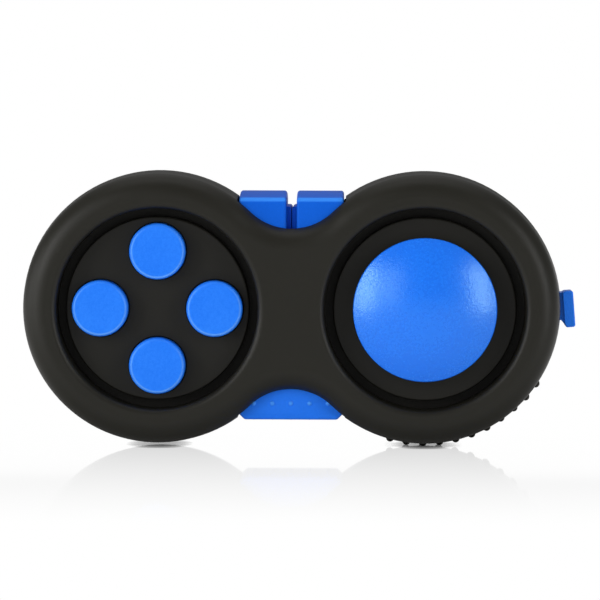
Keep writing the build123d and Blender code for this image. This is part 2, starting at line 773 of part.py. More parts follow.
# Grip pad: soft block with bumps underneath and on its two faces
grip_front = front_inner - grip_side_gap
grip_rear = panel + grip_side_gap
with BuildPart() as grip_pad:
    with BuildSketch(Plane.XZ.offset(grip_rear)):
        with Locations((0, -(grip_bottom + grip_top) / 2)):
            section = Rectangle(2 * grip_outer, grip_bottom - grip_top)
        chamfer(section.vertices().sort_by(Axis.Y)[:2], grip_chamfer)
        with Locations(*lobes):
            Circle(skirt_outer + fitting_gap, mode=Mode.SUBTRACT)
    extrude(amount=grip_front - grip_rear)
    sink = grip_bump_radius - grip_bump_height
    with Locations((0, -(grip_front + grip_rear) / 2, -grip_bottom + sink)):
        with GridLocations(grip_bump_pitch, grip_bump_pitch, grip_bump_columns, grip_bump_rows):
            Sphere(grip_bump_radius)
    for face_y in (-grip_front + sink, -grip_rear - sink):
        with Locations((0, face_y, grip_front_bump_z)):
            with GridLocations(grip_bump_pitch, grip_bump_pitch, grip_bump_columns, 1):
                Sphere(grip_bump_radius)
    for side in (-1, 1):
        lug((side * key_lug_x, -lug_low - lug_height / 2), grip_side_gap)

# Toggle: a paddle on a hub, leaning to its upper stop
toggle_frame = Plane(
    origin=(toggle_pivot[0], -toggle_low - toggle_side_gap, toggle_pivot[1]),
    x_dir=(cos(radians(toggle_lean)), 0, sin(radians(toggle_lean))),
    z_dir=(0, -1, 0),
)
with BuildPart() as toggle:
    with BuildSketch(toggle_frame):
        Circle(toggle_hub_radius)
        corner_x = toggle_head_start + toggle_head_round / 2
        corner_z = toggle_head_half - toggle_head_round / 4
        with BuildLine():
            Polyline(
                (0, toggle_hub_radius),
                (0, -toggle_hub_radius),
                (toggle_neck_length, toggle_neck_bottom),
                (corner_x, -corner_z),
                (corner_x, corner_z),
                (toggle_neck_length, toggle_neck_top),
                close=True,
            )
        make_face()
        with Locations((toggle_head_start + toggle_head_thickness / 2, 0)):
            RectangleRounded(toggle_head_thickness, 2 * toggle_head_half, toggle_head_round)
        Circle(toggle_pin_radius + running_gap, mode=Mode.SUBTRACT)
        rest_notch = 180 - toggle_lean
        for turn in (rest_notch, rest_notch + toggle_throw):
            with Locations(around((0, 0), toggle_hub_radius, turn)):
                Circle(toggle_notch_radius / 2, mode=Mode.SUBTRACT)
    extrude(amount=toggle_width)
    for side_face in (toggle.faces().sort_by(Axis.Y)[0], toggle.faces().sort_by(Axis.Y)[-1]):
        paddle_x = toggle_pivot[0] + toggle_pin_radius
        paddle_edges = side_face.outer_wire().edges().filter_by(lambda edge: edge.center().X > paddle_x)
        fillet(paddle_edges, toggle_side_round)
    neck_run = toggle_head_start - toggle_neck_start
    for depth in (0, toggle_width - toggle_neck_recess):
        with BuildSketch(toggle_frame.offset(depth)):
            with Locations((toggle_neck_start + neck_run / 2, 0)):
                Rectangle(neck_run, 2 * toggle_head_half)
        extrude(amount=toggle_neck_recess, mode=Mode.SUBTRACT)

with BuildPart() as toggle_pin:
    pin_low = parting - toggle_pin_length / 2
    cylinder([toggle_pivot], toggle_pin_radius, pin_low, pin_low + toggle_pin_length)

# Leaf spring whose nose clicks into the toggle's notches
with BuildPart() as toggle_leaf:
    with BuildSketch(Plane.XZ.offset(parting - leaf_width / 2)):
        with Locations((anchor_x, toggle_pivot_z)):
            Rectangle(leaf_thickness, 2 * leaf_half_length)
            Circle(leaf_nose_radius)
        with Locations((anchor_x - leaf_nose_radius, toggle_pivot_z)):
            Rectangle(2 * leaf_nose_radius - leaf_thickness, 2 * leaf_nose_radius, mode=Mode.SUBTRACT)
    extrude(amount=leaf_width)

# Dial: turns freely in the left pocket on its hub, kept by a washer and a screw
dial_radius = pocket_radius - dial_rim_gap
dial_back = pocket_depth - dial_gap
hub_end = pocket_inner + guide_gap
with BuildPart() as dial:
    cylinder([left_lobe], dial_radius, dial_recess, dial_back)
    fillet(dial.faces().sort_by(Axis.Y)[-1].edges(), dial_edge_round)
    cylinder([left_lobe], dial_hub_radius, dial_back, hub_end)
    dimple_sphere = (dial_dimple_radius**2 + dial_dimple_depth**2) / (2 * dial_dimple_depth)
    for step in range(dial_dimples):
        x, z = around(left_lobe, dial_dimple_pitch, 90 + step * 360 / dial_dimples)
        with Locations((x, -dial_recess + dimple_sphere - dial_dimple_depth, z)):
            Sphere(dimple_sphere, mode=Mode.SUBTRACT)
    dial_screw_tip = hub_end - dial_screw_depth
    cylinder([left_lobe], deck_screw_pilot, dial_screw_tip, hub_end, Mode.SUBTRACT)

with BuildPart() as dial_washer:
    cylinder([left_lobe], washer_radius, hub_end, hub_end + washer_thickness)
    cylinder([left_lobe], deck_screw_radius + guide_gap, hub_end, hub_end + washer_thickness, Mode.SUBTRACT)

with BuildPart() as dial_screw:
    head_seat = hub_end + washer_thickness
    cylinder([left_lobe], deck_screw_radius, dial_screw_tip + fitting_gap, head_seat)
    cylinder([left_lobe], deck_screw_head_radius, head_seat, head_seat + deck_screw_head_height)

# Worry pad: a smooth dished disc staked into the right pocket by three pegs
with BuildPart() as worry_pad:
    cylinder([right_lobe], pocket_radius - worry_rim_gap, worry_recess, pocket_depth)
    dish_sphere = (worry_dish_radius**2 + worry_dish_depth**2) / (2 * worry_dish_depth)
    with Locations((lobe_offset, -worry_recess + dish_sphere - worry_dish_depth, 0)):
        Sphere(dish_sphere, mode=Mode.SUBTRACT)
    fillet(worry_pad.faces().sort_by(Axis.Y)[-1].edges(), worry_edge_round)
    cylinder(peg_places, peg_radius, pocket_depth, pocket_inner)
    cylinder(peg_places, peg_head_radius, pocket_inner, pocket_inner + peg_head_height)

pieces = {
    "front_shell": front_shell.part,
    "rear_shell": rear_shell.part,
    "casing_screws": casing_screws.part,
    "button_deck": button_deck.part,
    **buttons,
    "dome_membrane": dome_membrane.part,
    "backing_board": backing_board.part,
    "deck_screws": deck_screws.part,
    "joystick_deck": joystick_deck.part,
    "gimbal_ring": gimbal_ring.part,
    "joystick_stem": joystick_stem.part,
    "stick_pin": stick_pin.part,
    "joystick_cap": joystick_cap.part,
    "joystick_base": joystick_base.part,
    "joystick_spring": joystick_spring,
    "left_key": left_key.part,
    "right_key": right_key.part,
    **key_springs,
    "grip_pad": grip_pad.part,
    "toggle": toggle.part,
    "toggle_pin": toggle_pin.part,
    "toggle_leaf": toggle_leaf.part,
    "dial": dial.part,
    "dial_washer": dial_washer.part,
    "dial_screw": dial_screw.part,
    "worry_pad": worry_pad.part,
}

os.makedirs("parts", exist_ok=True)
for name, piece in pieces.items():
    piece.label = name
    export_step(piece, f"parts/{name}.step")
    print(f"{name}: {len(piece.solids())} solid(s), {piece.volume:.1f} mm3")
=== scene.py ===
"""Dresses a two-lobed fidget pad: a black casing with blue buttons, keys, thumb dome, toggle and dial."""

import logging
from dataclasses import dataclass, field, replace
from enum import Enum
from math import acos, asin, cos, pi, radians, sin

import bmesh
import bpy
from mathutils import Matrix, Quaternion, Vector


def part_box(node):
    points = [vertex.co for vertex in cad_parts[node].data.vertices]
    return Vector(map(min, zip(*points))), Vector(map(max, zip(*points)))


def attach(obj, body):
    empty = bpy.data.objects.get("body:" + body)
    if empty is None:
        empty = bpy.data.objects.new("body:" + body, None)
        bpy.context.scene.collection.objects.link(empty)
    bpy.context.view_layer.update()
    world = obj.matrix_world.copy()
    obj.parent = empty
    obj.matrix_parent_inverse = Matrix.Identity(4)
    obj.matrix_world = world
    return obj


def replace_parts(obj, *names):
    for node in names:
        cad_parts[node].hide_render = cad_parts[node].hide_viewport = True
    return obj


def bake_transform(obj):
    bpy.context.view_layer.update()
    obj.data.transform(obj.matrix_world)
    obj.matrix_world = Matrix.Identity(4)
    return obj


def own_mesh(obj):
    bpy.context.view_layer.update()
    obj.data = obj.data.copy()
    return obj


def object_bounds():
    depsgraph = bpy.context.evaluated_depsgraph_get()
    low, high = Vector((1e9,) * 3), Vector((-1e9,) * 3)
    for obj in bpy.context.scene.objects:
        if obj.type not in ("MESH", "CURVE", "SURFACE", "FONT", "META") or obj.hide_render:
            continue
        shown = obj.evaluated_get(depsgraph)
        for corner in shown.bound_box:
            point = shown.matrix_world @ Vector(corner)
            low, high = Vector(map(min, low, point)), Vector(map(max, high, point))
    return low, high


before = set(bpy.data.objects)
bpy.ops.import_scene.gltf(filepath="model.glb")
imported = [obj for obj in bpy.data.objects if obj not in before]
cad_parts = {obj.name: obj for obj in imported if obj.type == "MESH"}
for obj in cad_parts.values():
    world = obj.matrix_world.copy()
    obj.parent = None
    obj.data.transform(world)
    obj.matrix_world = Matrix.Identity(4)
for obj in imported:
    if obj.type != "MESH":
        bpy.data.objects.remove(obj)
cad_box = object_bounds()
log = logging.getLogger("fidget_pad")

MM = 0.001
MERGED = 1e-7  # metres within which two vertices become one
CREASE = radians(35)  # a sharper angle between faces stays a hard edge
WHITE = (1.0, 1.0, 1.0, 1.0)
Colour = tuple[float, float, float]
Point = tuple[float, float, float]
Socket = bpy.types.NodeSocket


# ---------------------------------------------------------------- shader maths


class Value:
    """A number inside a node tree that takes part in Python sums."""

    def __init__(self, graph: "Graph", socket: Socket) -> None:
        """Wraps an output socket of a graph's node."""
        self.graph = graph
        self.socket = socket

    def _math(self, operation: str, first: "Value | float", second: "Value | float") -> "Value":
        """Adds one Math node.

        Args:
            operation: the Math node's operation.
            first: its first operand.
            second: its second operand.

        Returns:
            The node's result.
        """
        node = self.graph.node("ShaderNodeMath", {"operation": operation}, {0: first, 1: second})
        return Value(self.graph, node.outputs[0])

    def __add__(self, other: "Value | float") -> "Value":
        """This number plus another."""
        return self._math("ADD", self, other)

    def __radd__(self, other: float) -> "Value":
        """A plain number plus this one."""
        return self._math("ADD", other, self)

    def __sub__(self, other: "Value | float") -> "Value":
        """This number less another."""
        return self._math("SUBTRACT", self, other)

    def __rsub__(self, other: float) -> "Value":
        """A plain number less this one."""
        return self._math("SUBTRACT", other, self)

    def __mul__(self, other: "Value | float") -> "Value":
        """This number times another."""
        return self._math("MULTIPLY", self, other)

    def __rmul__(self, other: float) -> "Value":
        """A plain number times this one."""
        return self._math("MULTIPLY", other, self)

    def __pow__(self, other: float) -> "Value":
        """This number to a power."""
        return self._math("POWER", self, other)

    def size(self) -> "Value":
        """This number without its sign."""
        return self._math("ABSOLUTE", self, 0.0)

    def above(self, floor: "Value | float" = 0.0) -> "Value":
        """This number, or the floor where it falls under it."""
        return self._math("MAXIMUM", self, floor)

    def length(self, other: "Value") -> "Value":
        """Length of the diagonal whose sides are this number and another."""
        return (self * self + other * other) ** 0.5


class Mixed(Enum):
    """What a Mix node mixes, with the places of its two inputs and its output."""

    COLOUR = ("RGBA", 6, 7, 2)
    VECTOR = ("VECTOR", 4, 5, 1)


class Graph:
    """The node tree of one material or world, built node by node."""

    def __init__(self, owner: bpy.types.Material | bpy.types.World) -> None:
        """Empties the owner's node tree.

        Args:
            owner: the material or world to build.
        """
        owner.use_nodes = True
        self.tree = owner.node_tree
        self.tree.nodes.clear()

    def node(self, kind: str, settings: dict | None = None, sockets: dict | None = None) -> bpy.types.Node:
        """Adds one node of any kind.

        Args:
            kind: the node's type.
            settings: its own settings, set first; "stops" are a ramp's positions and greys.
            sockets: values or links for its inputs, by name or index.

        Returns:
            The new node.
        """
        node = self.tree.nodes.new(kind)
        for name, value in (settings or {}).items():
            if name == "stops":
                self._set_stops(node, value)
            else:
                setattr(node, name, value)
        for name, value in (sockets or {}).items():
            if isinstance(value, Value):
                value = value.socket
            if isinstance(value, Socket):
                self.tree.links.new(value, node.inputs[name])
            else:
                node.inputs[name].default_value = value
        return node

    @staticmethod
    def _set_stops(node: bpy.types.Node, stops: list[tuple[float, float]]) -> None:
        """Gives a colour ramp its stops.

        Args:
            node: the ramp's node.
            stops: positions and greys.
        """
        ramp = node.color_ramp
        while len(ramp.elements) < len(stops):
            ramp.elements.new(1.0)
        for element, (position, grey) in zip(ramp.elements, stops):
            element.position = position
            element.color = (grey, grey, grey, 1.0)

    def place(self) -> Socket:
        """The position on the piece, in metres."""
        return self.node("ShaderNodeTexCoord").outputs["Object"]

    def axes(self) -> tuple[Value, Value, Value]:
        """The position on the piece as three numbers, in metres."""
        split = self.node("ShaderNodeSeparateXYZ", {}, {"Vector": self.place()})
        return tuple(Value(self, split.outputs[axis]) for axis in "XYZ")

    def stretched(self, scale: Point) -> Socket:
        """The position on the piece, scaled along each axis.

        Args:
            scale: the factor along X, Y and Z.

        Returns:
            The scaled vector.
        """
        mapping = self.node("ShaderNodeMapping", {}, {"Vector": self.place(), "Scale": scale})
        return mapping.outputs["Vector"]

    def noise(self, size: float, detail: float = 2.0, place: Socket | None = None) -> Value:
        """Cloudy noise.

        Args:
            size: the size of its largest blobs, in metres.
            detail: how many finer layers lie over them.
            place: where it is read, if not at the piece's own position.

        Returns:
            A number around 0.5.
        """
        sockets = {"Vector": place or self.place(), "Scale": 1 / size, "Detail": detail}
        return Value(self, self.node("ShaderNodeTexNoise", {}, sockets).outputs["Fac"])

    def ramp(self, value: Value, stops: list[tuple[float, float]]) -> Value:
        """Maps a number through a ramp of greys.

        Args:
            value: the number.
            stops: positions and greys.

        Returns:
            The mapped number.
        """
        ramp = self.node("ShaderNodeValToRGB", {"stops": stops}, {"Fac": value})
        return Value(self, ramp.outputs["Color"])

    def mix(self, kind: Mixed, factor: Value, low: Socket | tuple, high: Socket | tuple) -> Socket:
        """Mixes two colours or two vectors.

        Args:
            kind: which of the two.
            factor: 0 gives the low one and 1 the high one.
            low: a link, or a constant.
            high: a link, or a constant.

        Returns:
            The mixed colour or vector.
        """
        data_type, first, second, result = kind.value
        sockets = {0: factor, first: low, second: high}
        return self.node("ShaderNodeMix", {"data_type": data_type}, sockets).outputs[result]

    def emission(self, strength: float) -> bpy.types.Node:
        """A surface that glows white."""
        return self.node("ShaderNodeEmission", {}, {"Color": WHITE, "Strength": strength})

    def diffuse(self, grey: float) -> bpy.types.Node:
        """A matt surface of one grey."""
        return self.node("ShaderNodeBsdfDiffuse", {}, {"Color": (grey, grey, grey, 1.0)})

    def either(self, factor: Value, low: bpy.types.Node, high: bpy.types.Node) -> bpy.types.Node:
        """Mixes two surfaces: 0 gives the low one and 1 the high one."""
        sockets = {0: factor, 1: low.outputs[0], 2: high.outputs[0]}
        return self.node("ShaderNodeMixShader", {}, sockets)

    def rays(self, *kinds: str) -> Value:
        """Tells whether a ray is of one of some kinds.

        Args:
            kinds: outputs of the Light Path node.

        Returns:
            1 if it is, 0 if not.
        """
        path = self.node("ShaderNodeLightPath")
        first, *others = (Value(self, path.outputs[kind]) for kind in kinds)
        return sum(others, first)


# -------------------------------------------------------------------- finishes


class Grain(Enum):
    """The surface that a mould or a machine leaves."""

    SPARK = "even spark-eroded texture"
    SKIN = "soft skin of moulded rubber"
    DRAWN = "lines of drawn wire or a turned head"


@dataclass(frozen=True)
class Layers:
    """Two layers of noise that make a grain. The first has the grain's own size."""

    detail: float
    second_scale: float
    second_detail: float
    second_share: float


LAYERS = {Grain.SPARK: Layers(1.0, 0.45, 0.0, 0.4), Grain.SKIN: Layers(3.0, 6.0, 1.0, 0.3)}
LINES = (1.0, 0.08, 1.0)  # draws a noise out along Y


@dataclass(frozen=True)
class Mark:
    """A part of a surface given another colour: the marks below are painted highlights and painted shade.
    Metres and linear colour.
    """

    colour: Colour

    def cover(self, graph: Graph) -> Value:
        """How much of the colour shows, from 0 to 1."""
        raise NotImplementedError

    def over(self, graph: Graph, base: Socket) -> Socket:
        """Lays the mark over a colour.

        Args:
            graph: the material's nodes.
            base: the colour away from the mark.

        Returns:
            The colour with the mark.
        """
        return graph.mix(Mixed.COLOUR, self.cover(graph), base, (*self.colour, 1.0))


@dataclass(frozen=True)
class PaintedEdgeHighlight(Mark):
    """A painted highlight along a straight edge that runs along X."""

    y: float
    z: float
    core: float = 0.34 * MM
    reach: float = 0.60 * MM

    def cover(self, graph: Graph) -> Value:
        """Works out how much of the colour shows.

        Args:
            graph: the material's nodes.

        Returns:
            All of it near the edge's line and nothing past its reach.
        """
        _, depth, height = graph.axes()
        away = (depth - self.y).length(height - self.z)
        return 1 - (away - self.core) * (1 / (self.reach - self.core))


@dataclass(frozen=True)
class PaintedRimHighlight(Mark):
    """A painted highlight round the edge of a round cap, strongest on its lower side."""

    x: float
    z: float
    radius: float
    width: float = 0.22 * MM
    even: float = 0.55  # share that shows half way up the cap
    lean: float = 0.45  # what the lowest point has over that

    def cover(self, graph: Graph) -> Value:
        """Works out how much of the colour shows.

        Args:
            graph: the material's nodes.

        Returns:
            Nothing a width away from the ring, and most on the ring's lower side.
        """
        side, _, height = graph.axes()
        right, up = side - self.x, height - self.z
        line = 1 - (right.length(up) - self.radius).size() * (1 / self.width)
        return line.above() * (self.even - up * (self.lean / self.radius))


@dataclass(frozen=True)
class PaintedTipHighlight(Mark):
    """A painted highlight on the tips of pips that stand out of a block's front, rear and lower faces."""

    front: float
    rear: float
    bottom: float
    full: float = 0.16 * MM

    def cover(self, graph: Graph) -> Value:
        """Works out how much of the colour shows.

        Args:
            graph: the material's nodes.

        Returns:
            Nothing on the faces and all of it at the tips.
        """
        _, depth, height = graph.axes()
        proud = (self.front - depth).above(depth - self.rear).above(self.bottom - height)
        return proud * (1 / self.full)


@dataclass(frozen=True)
class PaintedRecessShade(Mark):
    """Painted shade in what lies under a flat rear face, such as the cross cut in a screw's head."""

    face: float
    lip: float = 0.05 * MM

    def cover(self, graph: Graph) -> Value:
        """Nothing of the colour on the face and all of it under its lip."""
        return (self.face - graph.axes()[1] - self.lip) * (1 / self.lip)


@dataclass(frozen=True)
class Crown:
    """The tip of a ball-shaped dome that faces -Y, shaded as a ball and not as a fan of faces. Metres."""

    tip: Point
    radius: float
    core: float = 1.0 * MM
    reach: float = 1.8 * MM
    skin: float = 0.5 * MM  # how far behind the tip the dome still counts
    gain: float = 2.0  # shortens the step from the ball's normal to the mesh's

    def normal(self, graph: Graph) -> Socket:
        """Works out the normal.

        Args:
            graph: the material's nodes.

        Returns:
            The ball's own normal at the tip, and the mesh's away from it.
        """
        x, y, z = self.tip
        side, depth, height = graph.axes()
        away = (side - x).length(height - z)
        near = (self.reach - away) * (1 / (self.reach - self.core))
        outer = (y + self.skin - depth) * (1 / self.skin)
        centre = (x, y + self.radius, z)
        outward = graph.node("ShaderNodeVectorMath", {"operation": "SUBTRACT"},
                             {0: graph.place(), 1: centre})
        turn = {"vector_type": "NORMAL", "convert_from": "OBJECT", "convert_to": "WORLD"}
        ball = graph.node("ShaderNodeVectorTransform", turn, {"Vector": outward.outputs[0]})
        unit = graph.node("ShaderNodeVectorMath", {"operation": "NORMALIZE"}, {0: ball.outputs[0]})
        mesh = graph.node("ShaderNodeNewGeometry").outputs["Normal"]
        share = near.above() * outer.above() * self.gain
        return graph.mix(Mixed.VECTOR, share, mesh, unit.outputs[0])


EVEN = 0.5  # the middle of a noise
PATCH_SIZE = 0.009  # metres across the patches that hands have worn
PATCH_DETAIL = 3.0
PATCH_STOPS = [(0.35, 0.0), (0.7, 1.0)]  # where in the noise a patch starts and where it is full
PATCH_SHARE = 0.3  # of the step from shade to colour, in a full patch
BASE_SHARE = 0.35  # of the same step, everywhere
GRAIN_ROUGHNESS = 0.06  # from the grain's valleys to its tops
COAT_ROUGHNESS = 0.18
SCATTER_DEPTH = 0.0006  # metres that light goes into rubber


@dataclass(frozen=True)
class Finish:
    """One material of the pad. Sizes are in metres, colours are linear."""

    name: str
    colour: Colour
    shade: Colour
    grain: Grain
    grain_size: float
    grain_depth: float
    roughness: float
    contrast: float = 1.5
    roughness_spread: float = 0.08
    gloss: float = 0.5
    gloss_tint: Colour = (1.0, 1.0, 1.0)
    metallic: float = 0.0
    coat: float = 0.0
    subsurface: float = 0.0
    mark: Mark | None = None
    crown: Crown | None = None

    def _height(self, graph: Graph) -> Value:
        """Works out the grain.

        Args:
            graph: the material's nodes.

        Returns:
            Its height over the surface, from 0 to about 1.
        """
        if self.grain is Grain.DRAWN:
            return graph.noise(self.grain_size, place=graph.stretched(LINES))
        layers = LAYERS[self.grain]
        first = graph.noise(self.grain_size, layers.detail)
        second = graph.noise(self.grain_size * layers.second_scale, layers.second_detail)
        return (1 - layers.second_share) * first + layers.second_share * second

    def material(self) -> bpy.types.Material:
        """Builds the material.

        Returns:
            A node material with mottled colour, uneven gloss and a moulded grain.
        """
        material = bpy.data.materials.new(self.name)
        graph = Graph(material)
        height = self._height(graph)
        handled = graph.noise(PATCH_SIZE, PATCH_DETAIL)
        worn = graph.ramp(handled, PATCH_STOPS)
        mottle = (height - EVEN) * self.contrast + worn * PATCH_SHARE + BASE_SHARE
        colour = graph.mix(Mixed.COLOUR, mottle, (*self.shade, 1.0), (*self.colour, 1.0))
        # a mark lays its painted light or shade over the colour
        if self.mark:
            colour = self.mark.over(graph, colour)
        roughness = self.roughness + (handled - EVEN) * self.roughness_spread
        roughness = roughness + (height - EVEN) * GRAIN_ROUGHNESS
        relief = {"Height": height, "Distance": self.grain_depth, "Strength": 1.0}
        if self.crown:
            relief["Normal"] = self.crown.normal(graph)
        bump = graph.node("ShaderNodeBump", {}, relief)
        sockets = {
            "Base Color": colour,
            "Roughness": roughness,
            "Metallic": self.metallic,
            "Specular IOR Level": self.gloss,
            "Specular Tint": (*self.gloss_tint, 1.0),
            "Coat Weight": self.coat,
            "Coat Roughness": COAT_ROUGHNESS,
            "Subsurface Weight": self.subsurface,
            "Subsurface Scale": SCATTER_DEPTH,
            "Normal": bump.outputs["Normal"],
        }
        surface = graph.node("ShaderNodeBsdfPrincipled", {}, sockets)
        graph.node("ShaderNodeOutputMaterial", {}, {"Surface": surface.outputs["BSDF"]})
        return material


COOL = (0.55, 0.95, 1.0)  # tint of the blue plastics' highlights

SATIN_BLACK = Finish("satin_black", (0.0112, 0.0104, 0.0067), (0.0092, 0.0086, 0.0055), Grain.SPARK,
                     0.16 * MM, 0.012 * MM, 0.46, gloss=0.24)
MATT_BLACK = Finish("matt_black", (0.0108, 0.0103, 0.0078), (0.0090, 0.0085, 0.0064), Grain.SPARK,
                    0.12 * MM, 0.010 * MM, 0.50, gloss=0.20)
BLUE_SATIN = Finish("blue_satin", (0.022, 0.215, 0.94), (0.008, 0.162, 0.87), Grain.SPARK,
                    0.45 * MM, 0.022 * MM, 0.34, gloss=0.28, gloss_tint=COOL)
BLUE_GRAINED = Finish("blue_grained", (0.004, 0.180, 0.90), (0.002, 0.136, 0.83), Grain.SPARK,
                      0.42 * MM, 0.045 * MM, 0.27, gloss=0.8, gloss_tint=COOL)
# a darker copy of the buttons' blue: painted shade on the keys' recessed front faces
BLUE_SHADED_KEY = Finish("blue_shaded_key", (0.005, 0.118, 0.69), (0.003, 0.100, 0.62), Grain.SPARK,
                    0.30 * MM, 0.006 * MM, 0.40, roughness_spread=0.1, gloss=0.12, gloss_tint=COOL)
BLUE_RUBBER = Finish("blue_rubber", (0.015, 0.176, 0.85), (0.010, 0.146, 0.75), Grain.SKIN,
                     0.35 * MM, 0.02 * MM, 0.46, gloss=0.25, gloss_tint=COOL, subsurface=0.08)
BLUE_POLISHED = Finish("blue_polished", (0.008, 0.15, 0.88), (0.007, 0.14, 0.84), Grain.SPARK,
                       0.30 * MM, 0.002 * MM, 0.16, roughness_spread=0.12, gloss_tint=COOL, coat=0.15)
CLEAR_RUBBER = Finish("clear_rubber", (0.72, 0.72, 0.68), (0.62, 0.62, 0.57), Grain.SKIN,
                      0.40 * MM, 0.01 * MM, 0.42, gloss=0.4, subsurface=0.3)
INNER_BLACK = Finish("inner_black", (0.05, 0.05, 0.052), (0.042, 0.042, 0.044), Grain.SPARK,
                     0.20 * MM, 0.006 * MM, 0.38, gloss=0.45)
BOARD_BROWN = Finish("board_brown", (0.16, 0.075, 0.03), (0.11, 0.05, 0.02), Grain.SKIN,
                     0.25 * MM, 0.006 * MM, 0.5, gloss=0.4)
PLATED_STEEL = Finish("plated_steel", (0.62, 0.62, 0.64), (0.54, 0.54, 0.57), Grain.DRAWN,
                      0.10 * MM, 0.003 * MM, 0.26, metallic=1.0)
SPRING_STEEL = Finish("spring_steel", (0.50, 0.50, 0.53), (0.38, 0.38, 0.41), Grain.DRAWN,
                      0.06 * MM, 0.003 * MM, 0.3, metallic=1.0)


# ----------------------------------------------------------------- mesh helpers


def dress(finish: Finish, *names: str) -> None:
    """Gives CAD nodes a finish.

    Args:
        finish: the finish.
        names: the nodes that share it.
    """
    material = finish.material()
    for name in names:
        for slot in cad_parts[name].material_slots:
            slot.material = material
        log.info("dressed %s in %s", name, finish.name)


def finished(shape: bmesh.types.BMesh, name: str, body: str | None, finish: Finish) -> bpy.types.Object:
    """Turns a bmesh into a smooth piece that rides on a body.

    Args:
        shape: the mesh, already in place.
        name: the piece's name.
        body: the body that it rides on, or None to leave it free of any body.
        finish: its finish.

    Returns:
        The new object, at the origin.
    """
    bmesh.ops.remove_doubles(shape, verts=shape.verts, dist=MERGED)
    bmesh.ops.recalc_face_normals(shape, faces=shape.faces)
    mesh = bpy.data.meshes.new(name)
    shape.to_mesh(mesh)
    shape.free()
    mesh.materials.append(finish.material())
    mesh.shade_smooth()
    mesh.set_sharp_from_angle(angle=CREASE)
    piece = bpy.data.objects.new(name, mesh)
    bpy.context.scene.collection.objects.link(piece)
    if body:
        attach(piece, body)
    log.info("made %s: %d faces", name, len(mesh.polygons))
    return piece


def box_of(node: str) -> tuple[Vector, Vector]:
    """Lowest and highest corner of a CAD node."""
    low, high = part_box(node)
    return Vector(low), Vector(high)


def middle_of(node: str) -> Vector:
    """Centre of a CAD node's box."""
    low, high = box_of(node)
    return (low + high) / 2


COIL_STEPS = 28  # in one turn
WIRE_FACETS = 10


def coil(shape: bmesh.types.BMesh, foot: Vector, axis: Vector, radius: float, wire: float,
         length: float, turns: float) -> None:
    """Spins a round wire up into a coil.

    Args:
        shape: the empty mesh that gets it.
        foot: centre of the coil's foot.
        axis: direction from foot to top, a unit vector.
        radius: mean radius.
        wire: wire diameter.
        length: overall length.
        turns: number of turns.
    """
    across = axis.orthogonal().normalized()
    steps = int(turns * COIL_STEPS)
    rise = (length - wire) / steps
    start = Matrix.Translation(foot + across * radius + axis * wire / 2)
    along = axis.cross(across).to_track_quat("Z", "Y").to_matrix().to_4x4()
    bmesh.ops.create_circle(shape, cap_ends=True, segments=WIRE_FACETS, radius=wire / 2,
                            matrix=start @ along)
    bmesh.ops.spin(shape, geom=[*shape.verts, *shape.edges, *shape.faces], cent=foot, axis=axis,
                   dvec=axis * rise, angle=turns * 2 * pi, steps=steps, use_duplicate=False)


def lathe(shape: bmesh.types.BMesh, section: list[tuple[float, float]], centre: Vector, axis: Vector,
          facets: int) -> None:
    """Turns a closed section round an axis.

    Args:
        shape: the empty mesh that gets it.
        section: points as radius and height along the axis.
        centre: where height and radius are 0.
        axis: the lathe's axis, a unit vector.
        facets: steps round the turn.
    """
    across = axis.orthogonal().normalized()
    verts = [shape.verts.new(centre + across * radius + axis * height) for radius, height in section]
    edges = [shape.edges.new(pair) for pair in zip(verts, verts[1:] + verts[:1])]
    bmesh.ops.spin(shape, geom=verts + edges, cent=centre, axis=axis, dvec=(0, 0, 0), angle=2 * pi,
                   steps=facets, use_merge=True, use_duplicate=False)


# ---------------------------------------------------------------- sub-assemblies


@dataclass
class Casing:
    """The two black shells and the screws that close them."""

    shell_finish: Finish = SATIN_BLACK
    screw_finish: Finish = PLATED_STEEL
    recess_shade_colour: Colour = (0.02, 0.02, 0.02)

    def build(self) -> None:
        """Dresses the shells and the screws."""
        dress(self.shell_finish, "front_shell", "rear_shell")
        # the cross cuts in the screw heads get painted shade
        cut = PaintedRecessShade(self.recess_shade_colour, box_of("casing_screws")[1].y)
        dress(replace(self.screw_finish, mark=cut), "casing_screws")


